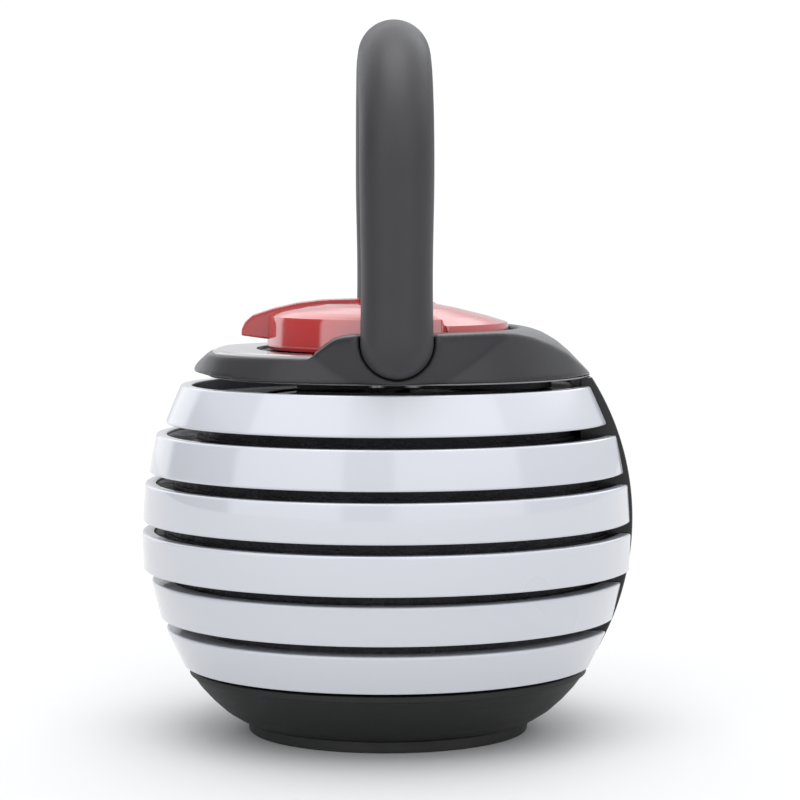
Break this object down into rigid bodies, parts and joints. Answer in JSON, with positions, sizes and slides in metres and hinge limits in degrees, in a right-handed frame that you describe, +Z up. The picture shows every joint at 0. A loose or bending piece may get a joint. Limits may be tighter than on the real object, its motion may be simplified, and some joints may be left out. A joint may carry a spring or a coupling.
{
  "type": "kettlebell",
  "caption": "Adjustable kettlebell of stacked oval ring weights, with a loop handle and a dial that picks how many lift out of its low base tray.",
  "frame": {"origin": "centre of the foot face on the floor; the dial shaft stands on this point", "axes": "+X towards one handle leg, -Y towards the front with the white scale plate, +Y towards the rear spine, +Z up"},
  "size_m": [0.1778, 0.2171, 0.3138],
  "materials": {
    "base_plastic": "near-black moulded plastic, fine grain",
    "foot_rubber": "black rubber",
    "inner_plastic": "black moulded plastic",
    "screw_steel": "plated screw",
    "black_cast_iron": "matt black enamel over cast iron",
    "pale_silver_enamel": "pale silver high-gloss enamel",
    "zinc_steel": "zinc plated",
    "spine_plastic": "charcoal moulded plastic",
    "shell_plastic": "dark grey moulded plastic, fine grain",
    "trim_plastic": "light grey lip",
    "scale_white": "glossy white",
    "grip_soft_touch": "dark grey soft-touch overmould",
    "bush_plastic": "natural low-friction plastic",
    "dial_red": "glossy red",
    "pointer_red": "glossy deep red",
    "phosphated_steel": "dark phosphate"
  },
  "bodies": {
    "base": {"base_tray": "base_plastic", "base_foot_ring": "foot_rubber", "base_hub": "inner_plastic", "base_liner": "foot_rubber", "tray_screw_front_left": "screw_steel", "tray_screw_back_left": "screw_steel", "tray_screw_front_right": "screw_steel", "tray_screw_back_right": "screw_steel", "hub_screw_left": "screw_steel", "hub_screw_right": "screw_steel"},
    "weight_6": {"weight_core_6": "black_cast_iron", "weight_band_6": "pale_silver_enamel", "weight_catch_6": "zinc_steel"},
    "weight_5": {"weight_core_5": "black_cast_iron", "weight_band_5": "pale_silver_enamel", "weight_catch_5": "zinc_steel"},
    "weight_4": {"weight_core_4": "black_cast_iron", "weight_band_4": "pale_silver_enamel", "weight_catch_4": "zinc_steel"},
    "weight_3": {"weight_core_3": "black_cast_iron", "weight_band_3": "pale_silver_enamel", "weight_catch_3": "zinc_steel"},
    "weight_2": {"weight_core_2": "black_cast_iron", "weight_band_2": "pale_silver_enamel", "weight_catch_2": "zinc_steel"},
    "weight_1": {"weight_core_1": "black_cast_iron", "weight_band_1": "pale_silver_enamel", "weight_catch_1": "zinc_steel"},
    "handle_unit": {"lower_housing": "inner_plastic", "rear_spine": "spine_plastic", "chassis_plate": "zinc_steel", "top_shell": "shell_plastic", "dial_seat": "inner_plastic", "shell_trim": "trim_plastic", "scale_plate": "scale_white", "handle_grip": "grip_soft_touch", "handle_core": "zinc_steel", "clamp_block_left": "zinc_steel", "clamp_block_right": "zinc_steel", "clamp_screw_front_left": "screw_steel", "clamp_screw_back_left": "screw_steel", "clamp_screw_front_right": "screw_steel", "clamp_screw_back_right": "screw_steel", "spine_screw_left": "screw_steel", "spine_screw_right": "screw_steel", "shaft_bush": "bush_plastic"},
    "dial": {"dial_knob": "dial_red", "dial_pointer": "pointer_red", "dial_screw": "screw_steel", "selector_shaft": "phosphated_steel", "selector_disc_1": "phosphated_steel", "selector_disc_2": "phosphated_steel", "selector_disc_3": "phosphated_steel", "selector_disc_4": "phosphated_steel", "selector_disc_5": "phosphated_steel", "selector_disc_6": "phosphated_steel", "shaft_clip": "phosphated_steel", "thrust_washer": "bush_plastic"}
  },
  "joints": [
    {"name": "lift_weight_6", "type": "slide", "parent": "base", "child": "weight_6", "axis": [0, 0, 1], "range_m": [0, 0.045]},
    {"name": "lift_weight_5", "type": "slide", "parent": "weight_6", "child": "weight_5", "axis": [0, 0, 1], "range_m": [0, 0.045]},
    {"name": "lift_weight_4", "type": "slide", "parent": "weight_5", "child": "weight_4", "axis": [0, 0, 1], "range_m": [0, 0.065]},
    {"name": "lift_weight_3", "type": "slide", "parent": "weight_4", "child": "weight_3", "axis": [0, 0, 1], "range_m": [0, 0.085]},
    {"name": "lift_weight_2", "type": "slide", "parent": "weight_3", "child": "weight_2", "axis": [0, 0, 1], "range_m": [0, 0.105]},
    {"name": "lift_weight_1", "type": "slide", "parent": "weight_2", "child": "weight_1", "axis": [0, 0, 1], "range_m": [0, 0.13]},
    {"name": "lift_handle_unit", "type": "slide", "parent": "weight_1", "child": "handle_unit", "axis": [0, 0, 1], "range_m": [0, 0.15]},
    {"name": "turn_dial", "type": "hinge", "parent": "handle_unit", "child": "dial", "pos_m": [0, 0, 0.18], "axis": [0, 0, 1], "range_deg": [0, 48]}
  ]
}
